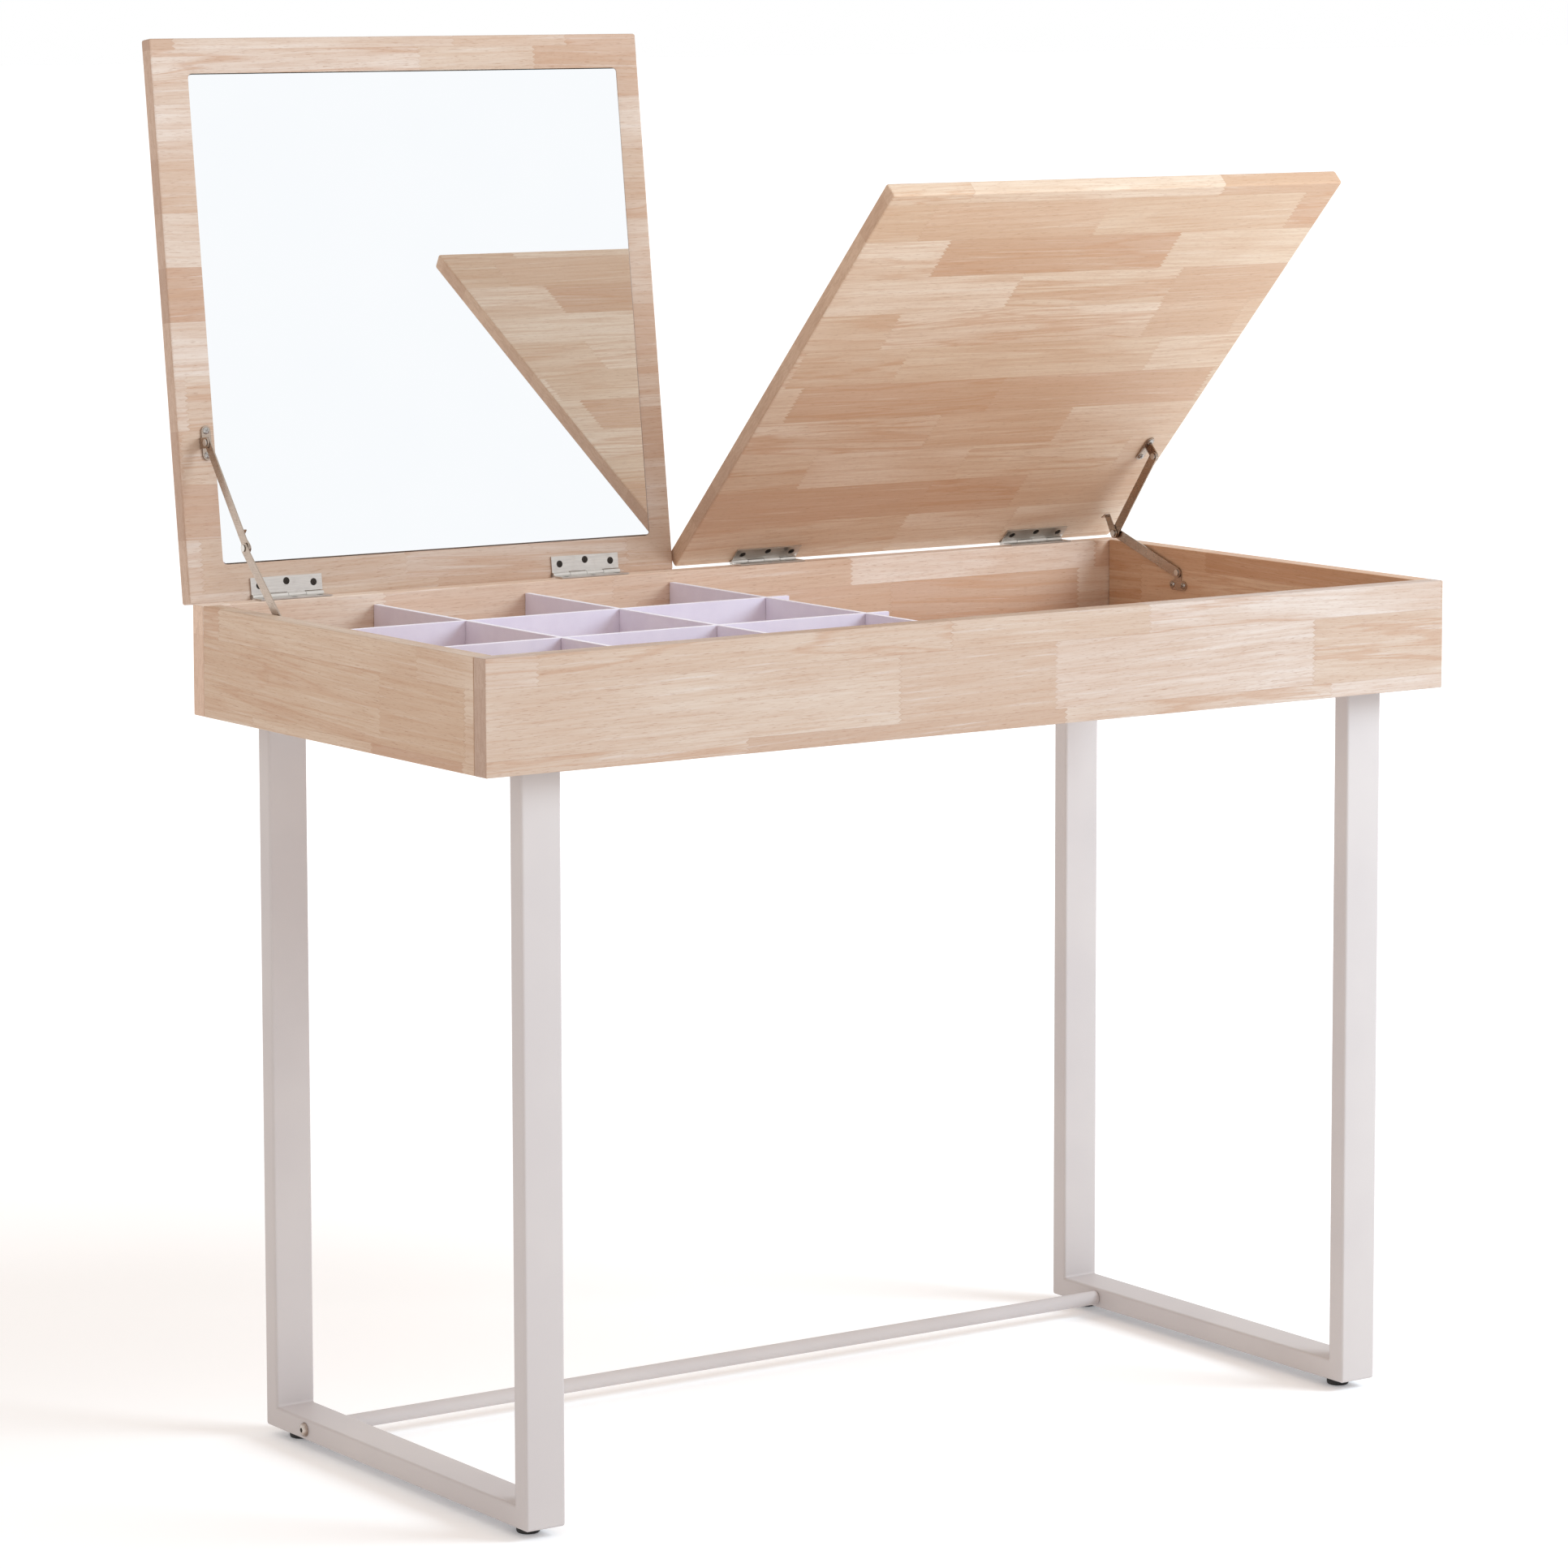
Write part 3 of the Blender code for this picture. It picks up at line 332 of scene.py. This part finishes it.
def bolt_steel():
    """Worn plated steel, with a painted dark hexagon socket for the shade in its recess, and
    painted shade with a brown reflection towards the rim of both bolts.
    """
    net = Net("bolt_steel", metallic=1.0)
    split = net.node("SeparateXYZ", net.place())
    aside = net.math("ABSOLUTE", net.math("SUBTRACT", split.outputs[1], BOLT_Y))
    above = net.math("ABSOLUTE", net.math("SUBTRACT", split.outputs[2], BOLT_Z))
    slanted = net.math("MULTIPLY_ADD", aside, math.sqrt(0.75), net.math("MULTIPLY", above, 0.5))
    reach = net.math("MAXIMUM", slanted, above)
    # Painted shade: the hexagon socket is not cut into the head, it is a dark patch that stands for
    # the shade inside the recess
    socket = net.ramp(reach, 0.85 * SOCKET_HALF, SOCKET_HALF, 1.0, 0.0)
    wear = net.noise(net.scaled(net.place(), 700.0, 700.0, 700.0), 3.0, 0.6)
    steel = net.mix(net.ramp(wear, 0.35, 0.7), srgb(206, 196, 188), srgb(178, 165, 155))
    # Painted shade and reflection: the head turns brown and darker towards its rim, for the shade
    # at the edge of the dome and the wood it reflects
    rim = net.ramp(reach, 1.5 * SOCKET_HALF, 2.8 * SOCKET_HALF, 0.0, 0.8)
    steel = net.mix(rim, steel, srgb(132, 110, 96))
    rough = net.math("MULTIPLY_ADD", socket, 0.4, net.ramp(wear, 0.3, 0.7, 0.16, 0.3))
    net.surface(net.mix(socket, steel, srgb(52, 45, 40)), rough)
    return net.material


def dark_screw():
    """Dark steel with lighter specks."""
    net = Net("dark_screw", metallic=1.0)
    spots = net.noise(net.scaled(net.place(), 1500.0, 1500.0, 1500.0), 2.0, 0.6)
    colour = net.mix(spots, srgb(46, 42, 40), srgb(84, 78, 73))
    net.surface(colour, net.ramp(spots, 0.3, 0.7, 0.30, 0.48))
    return net.material


def divider_board():
    """Thin board with a smooth, slightly violet skin and a whiter cut edge."""
    net = Net("divider_board", specular_ior_level=0.4)
    place = net.place()
    cloud = net.noise(net.scaled(place, 30.0, 30.0, 30.0), 3.0, 0.6)
    fibre = net.noise(net.scaled(place, 900.0, 900.0, 900.0), 3.0, 0.65)
    skin = net.mix(net.ramp(cloud, 0.3, 0.7), srgb(226, 219, 236), srgb(232, 226, 241))
    skin = net.mix(net.ramp(fibre, 0.5, 0.8, 0.0, 0.16), skin, srgb(210, 202, 222))
    up = net.node("SeparateXYZ", net.facing()).outputs[2]
    edge = net.ramp(net.math("ABSOLUTE", up), 0.6, 0.9)
    rim = net.mix(net.ramp(fibre, 0.4, 0.7), srgb(246, 243, 250), srgb(234, 229, 240))
    rough = net.math("MULTIPLY_ADD", edge, 0.18, net.ramp(fibre, 0.3, 0.7, 0.40, 0.50))
    net.surface(net.mix(edge, skin, rim), rough)
    net.bump(fibre, 0.12, 0.08 * MM)
    return net.material


def black_glide():
    """Dark moulded plastic."""
    net = Net("black_glide", specular_ior_level=0.4)
    grain = net.noise(net.scaled(net.place(), 1700.0, 1700.0, 1700.0), 2.0)
    colour = net.mix(grain, srgb(26, 25, 25), srgb(44, 42, 41))
    net.surface(colour, net.ramp(grain, 0.3, 0.7, 0.45, 0.62))
    net.bump(grain, 0.2, 0.08 * MM)
    return net.material


def mirror_glass():
    """Silvered glass: a mirror on its faces, and a dull ground edge."""
    net = Net("mirror_glass", metallic=1.0)
    place = closed_place(net, OPENING["mirror"])
    haze = net.noise(net.scaled(place, 9.0, 9.0, 9.0), 3.0)
    out = Matrix.Rotation(math.radians(-OPENING["mirror"]), 3, "X") @ Vector((0, 0, 1))
    dot = net.node("VectorMath", net.facing(), tuple(out), operation="DOT_PRODUCT").outputs["Value"]
    edge = net.ramp(net.math("ABSOLUTE", dot), 0.3, 0.8, 1.0, 0.0)
    silver = net.mix(haze, srgb(247, 250, 253), srgb(250, 252, 254))
    rough = net.math("MULTIPLY_ADD", edge, 0.35, net.ramp(haze, 0.3, 0.7, 0.004, 0.010))
    net.surface(net.mix(edge, silver, srgb(96, 108, 106)), rough)
    return net.material


# CAD nodes keep their shape, with softened edges

def soften(node, width):
    """Small rounded edges and smooth round faces, without touching the node's own vertices."""
    node.data.shade_smooth()
    weld = node.modifiers.new("weld", "WELD")
    weld.merge_threshold = WELD_REACH
    if width:
        bevel = node.modifiers.new("edges", "BEVEL")
        bevel.width = width
        bevel.segments = 2
        bevel.limit_method = "ANGLE"
        bevel.angle_limit = SHARPEST_SMOOTH
    normals = node.modifiers.new("normals", "WEIGHTED_NORMAL")
    normals.keep_sharp = False


def finish_node(name, material, width=0.0):
    node = NODES[name]
    if node.data.has_custom_normals:
        node.data.attributes.remove(node.data.attributes["custom_normal"])
    node.data.materials.clear()
    node.data.materials.append(material)
    soften(node, width)


def finish_boards():
    """The wooden panels, each with its own staves, seed and colour factor, which is partly tone and
    partly painted light and shade. Returns their materials.
    """
    mirror, storage = OPENING["mirror"], OPENING["storage"]
    boards = {
        # Painted light and shade, mixed with each board's own tone: the front and the left side are
        # darkened, the mirror lid a little, the back and the storage lid lightened and the right
        # side warmed, for how the light falls on each at rest and bounces inside the box
        "front_panel": wood(
            "wood_front", "XZY", 1.0, start=0.649, stave=58 * MM, length=0.62,
            shade=(0.83, 0.88, 0.95), blush=0.12,
        ),
        "back_panel": wood(
            "wood_back", "XZY", 2.0, start=0.655, stave=52 * MM, length=0.5,
            shade=(1.16, 1.24, 1.32),
        ),
        "left_side_panel": wood(
            "wood_left", "YZX", 3.0, start=0.645, stave=60 * MM, length=0.5,
            shade=(0.85, 0.83, 0.79),
        ),
        "right_side_panel": wood(
            "wood_right", "YZX", 4.0, start=0.658, stave=55 * MM, length=0.5,
            shade=(1.08, 1.03, 0.93),
        ),
        "bottom_panel": wood("wood_bottom", "XYZ", 5.0),
        "mirror_lid_panel": wood(
            "wood_mirror_lid", "XYZ", 6.0, mirror, start=-6 * MM, shade=(0.92, 0.97, 1.03),
        ),
        "storage_lid_panel": wood(
            "wood_storage_lid", "XYZ", 7.0, storage, start=-4 * MM, shade=(1.08, 1.12, 1.10),
        ),
    }
    for name, material in boards.items():
        finish_node(name, material)
    return boards


def finish_nodes():
    boards = finish_boards()
    steel = satin_steel("steel_x", "X")
    stay_steel = satin_steel("stay_steel", "Y", None, STAY_TINT, 0.24)
    lid_steel, lid_stay_steel = {}, {}
    for lid, opening in OPENING.items():
        lid_steel[lid] = satin_steel(f"steel_{lid}_lid", "X", opening)
        lid_stay_steel[lid] = satin_steel(f"stay_steel_{lid}_lid", "X", opening, STAY_TINT, 0.24)
    paint, glide, bolt, board = powder_coat(), black_glide(), bolt_steel(), divider_board()
    for name in NODES:
        lid = name.split("_")[0]
        if name in boards:
            continue
        if name.endswith("leg_frame"):
            finish_node(name, paint)
        elif name == "stretcher":
            finish_node(name, paint, ROUND_EDGE)
        elif name.startswith("foot"):
            finish_node(name, glide)
        elif name.startswith("stretcher_bolt"):
            finish_node(name, bolt, SHEET_EDGE)
        elif "divider" in name:
            finish_node(name, board, ROUND_EDGE)
        elif name.startswith("dowel"):
            finish_node(name, boards["bottom_panel"], DOWEL_EDGE)
        elif name == "mirror_glass":
            finish_node(name, mirror_glass())
        elif name.endswith("lid_leaf"):
            finish_node(name, lid_steel[lid], SHEET_EDGE)
        elif name.endswith("lid_bracket"):
            finish_node(name, lid_stay_steel[lid], SHEET_EDGE)
        elif name.endswith(("arm", "lever", "base_bracket")):
            finish_node(name, stay_steel, ARM_EDGE)
        else:
            finish_node(name, steel, SHEET_EDGE)


# Added detail

def lid_frame(lid):
    """The matrix from a closed lid's coordinates, about its hinge axis, to its rest place."""
    return Matrix.Translation(HINGE_AXIS) @ Matrix.Rotation(math.radians(-OPENING[lid]), 4, "X")


def screw_mesh(name, radius, height, dome, slot):
    """A screw head on z = 0. The cross recess in its domed top is slot wide."""
    mesh = bpy.data.meshes.new(name)
    shape = bmesh.new()
    profile = [(radius * 0.92, 0.0), (radius, height * 0.35), (radius * 0.97, height * 0.7)]
    steps = 5
    for i in range(steps):
        angle = math.radians(90 * i / steps)
        profile.append((radius * 0.93 * math.cos(angle), height * 0.8 + dome * math.sin(angle)))
    sides = 28
    rings = []
    for reach, z in profile:
        ring = []
        for i in range(sides):
            angle = 2 * math.pi * i / sides
            ring.append(shape.verts.new((reach * math.cos(angle), reach * math.sin(angle), z)))
        rings.append(ring)
    for low, high in zip(rings, rings[1:]):
        for i in range(sides):
            shape.faces.new((low[i], low[(i + 1) % sides], high[(i + 1) % sides], high[i]))
    shape.faces.new(rings[-1])
    shape.faces.new(rings[0][::-1])
    shape.to_mesh(mesh)
    shape.free()
    head = bpy.data.objects.new(name + "_blank", mesh)
    bpy.context.scene.collection.objects.link(head)
    cutters = []
    for turn in (0, math.pi / 2):
        bar = bpy.data.meshes.new("bar")
        shape = bmesh.new()
        bmesh.ops.create_cube(shape, size=1.0)
        bmesh.ops.scale(shape, vec=(radius * 1.25, slot, height + dome), verts=shape.verts)
        shape.to_mesh(bar)
        shape.free()
        cutter = bpy.data.objects.new("bar", bar)
        cutter.location.z = height * 0.55 + (height + dome) / 2
        cutter.rotation_euler.z = turn
        bpy.context.scene.collection.objects.link(cutter)
        cut = head.modifiers.new("cut", "BOOLEAN")
        cut.object = cutter
        cutters.append(cutter)
    bpy.context.view_layer.update()
    graph = bpy.context.evaluated_depsgraph_get()
    result = bpy.data.meshes.new_from_object(head.evaluated_get(graph))
    result.name = name
    for helper in cutters + [head]:
        bpy.data.objects.remove(helper)
    result.shade_smooth()
    result.set_sharp_from_angle(angle=math.radians(40))
    return result


def add_screw(name, mesh, matrix, body, material):
    piece = bpy.data.objects.new(name, mesh)
    if material.name not in mesh.materials:
        mesh.materials.append(material)
    bpy.context.scene.collection.objects.link(piece)
    piece.matrix_world = matrix
    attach(piece, body)


def hinge_screws():
    head = screw_mesh("leaf_screw", 3.05 * MM, 0.75 * MM, 0.15 * MM, 0.6 * MM)
    finish = dark_screw()
    for lid in OPENING:
        for side in ("left", "right"):
            hinge = f"{lid}_hinge_{side}"
            low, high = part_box(hinge + "_pin")
            middle = (low.x + high.x) / 2
            for number, (x, y) in enumerate(LEAF_SCREWS, 1):
                spot = Vector((middle + x * MM, y * MM, 0))
                # Each screw stops at its own angle
                twist = Matrix.Rotation(math.radians(23 + 47 * number + 31 * len(side)), 4, "Z")
                up = Matrix.Translation(HINGE_AXIS + spot - Vector((0, 0, LEAF_SEAT))) @ twist
                add_screw(f"{hinge}_box_screw_{number}", head, up, "table", finish)
                down = lid_frame(lid) @ Matrix.Translation(spot + Vector((0, 0, LEAF_SEAT)))
                down = down @ Matrix.Rotation(math.pi, 4, "X") @ twist
                add_screw(f"{hinge}_lid_screw_{number}", head, down, lid + "_lid", finish)


def stay_screws():
    head = screw_mesh("bracket_screw", 3.0 * MM, 0.7 * MM, 0.7 * MM, 0.55 * MM)
    finish = satin_steel("screw_steel", "Z", tint=SCREW_TINT, rough=0.24)
    for lid, side in (("mirror", -1), ("storage", 1)):
        base = joint_place(lid + "_stay_base_pivot")
        inner = side * (SIDE_INNER_FACE - BASE_PLATE)
        flat = Matrix.Rotation(-side * math.pi / 2, 4, "Y")
        for word, y in BASE_SCREWS.items():
            spot = Vector((inner, base.y + y * MM, base.z - BASE_SCREW_DROP))
            twist = Matrix.Rotation(math.radians(20 + 5 * y), 4, "Z")
            matrix = Matrix.Translation(spot) @ flat @ twist
            add_screw(f"{lid}_stay_base_screw_{word}", head, matrix, "table", finish)
        inner = side * (SIDE_INNER_FACE - LID_SCREW_INSET)
        for word, y in LID_SCREWS.items():
            spot = Vector((inner, (-LID_BRACKET_REACH[lid] + y) * MM, 0.0))
            matrix = lid_frame(lid) @ Matrix.Translation(spot) @ Matrix.Rotation(math.pi, 4, "X")
            matrix = matrix @ Matrix.Rotation(math.radians(15 + 4 * y), 4, "Z")
            add_screw(f"{lid}_stay_lid_screw_{word}", head, matrix, lid + "_lid", finish)


# Surroundings

def add_key_light():
    light = bpy.data.lights.new("key", "AREA")
    light.shape = "DISK"
    light.size = KEY_SIZE
    light.energy = KEY_POWER
    light.color = KEY_COLOUR
    lamp = bpy.data.objects.new("key", light)
    lamp.location = KEY_PLACE
    aim = Vector(KEY_TARGET) - Vector(KEY_PLACE)
    lamp.rotation_euler = aim.to_track_quat("-Z", "Y").to_euler()
    lamp.visible_glossy = False
    bpy.context.scene.collection.objects.link(lamp)


def add_floor():
    """A white floor that glows more with distance, so that it meets the backdrop unseen."""
    mesh = bpy.data.meshes.new("floor")
    shape = bmesh.new()
    bmesh.ops.create_grid(shape, x_segments=1, y_segments=1, size=FLOOR_HALF)
    shape.to_mesh(mesh)
    shape.free()
    floor = bpy.data.objects.new("floor", mesh)
    net = Net("white_floor", specular_ior_level=0.1)
    tint = net.noise(net.scaled(net.place(), 3.0, 3.0, 3.0), 2.0)
    net.surface(net.mix(tint, srgb(250, 250, 250), srgb(252, 252, 252)), 0.8)
    away = net.node("VectorMath", net.place(), operation="LENGTH").outputs["Value"]
    glow = net.ramp(away, FLOOR_GLOW_NEAR, FLOOR_GLOW_FAR, *FLOOR_GLOW)
    net.put(net.shader.inputs["Emission Color"], FLOOR_GLOW_COLOUR)
    net.put(net.shader.inputs["Emission Strength"], glow)
    mesh.materials.append(net.material)
    bpy.context.scene.collection.objects.link(floor)


def add_world():
    """The table is lit by a warm room, and what is seen or mirrored is plain white."""
    world = bpy.data.worlds.new("studio")
    bpy.context.scene.world = world
    world.use_nodes = True
    tree = world.node_tree
    path = tree.nodes.new("ShaderNodeLightPath")
    either = tree.nodes.new("ShaderNodeMath")
    either.operation = "MAXIMUM"
    tree.links.new(path.outputs["Is Camera Ray"], either.inputs[0])
    tree.links.new(path.outputs["Is Glossy Ray"], either.inputs[1])
    colour = tree.nodes.new("ShaderNodeMix")
    colour.data_type = "RGBA"
    tree.links.new(either.outputs[0], colour.inputs[0])
    colour.inputs[6].default_value = ROOM_COLOUR
    colour.inputs[7].default_value = BACKDROP_COLOUR
    tree.links.new(colour.outputs[2], tree.nodes["Background"].inputs["Color"])


def add_camera():
    data = bpy.data.cameras.new("camera")
    data.sensor_width = SENSOR
    data.lens = LENS
    data.shift_y = LENS_SHIFT
    data.clip_end = FARTHEST
    eye = bpy.data.objects.new("camera", data)
    aim = Euler((math.pi / 2 - LOOK_DOWN, 0.0, LOOK_ASIDE)).to_matrix().to_4x4()
    eye.matrix_world = Matrix.Translation(EYE) @ aim @ Matrix.Rotation(ROLL, 4, "Z")
    bpy.context.scene.collection.objects.link(eye)
    bpy.context.scene.camera = eye


finish_nodes()
hinge_screws()
stay_screws()
add_floor()
add_world()
add_key_light()
bpy.context.scene.view_settings.view_transform = "Standard"
add_camera()
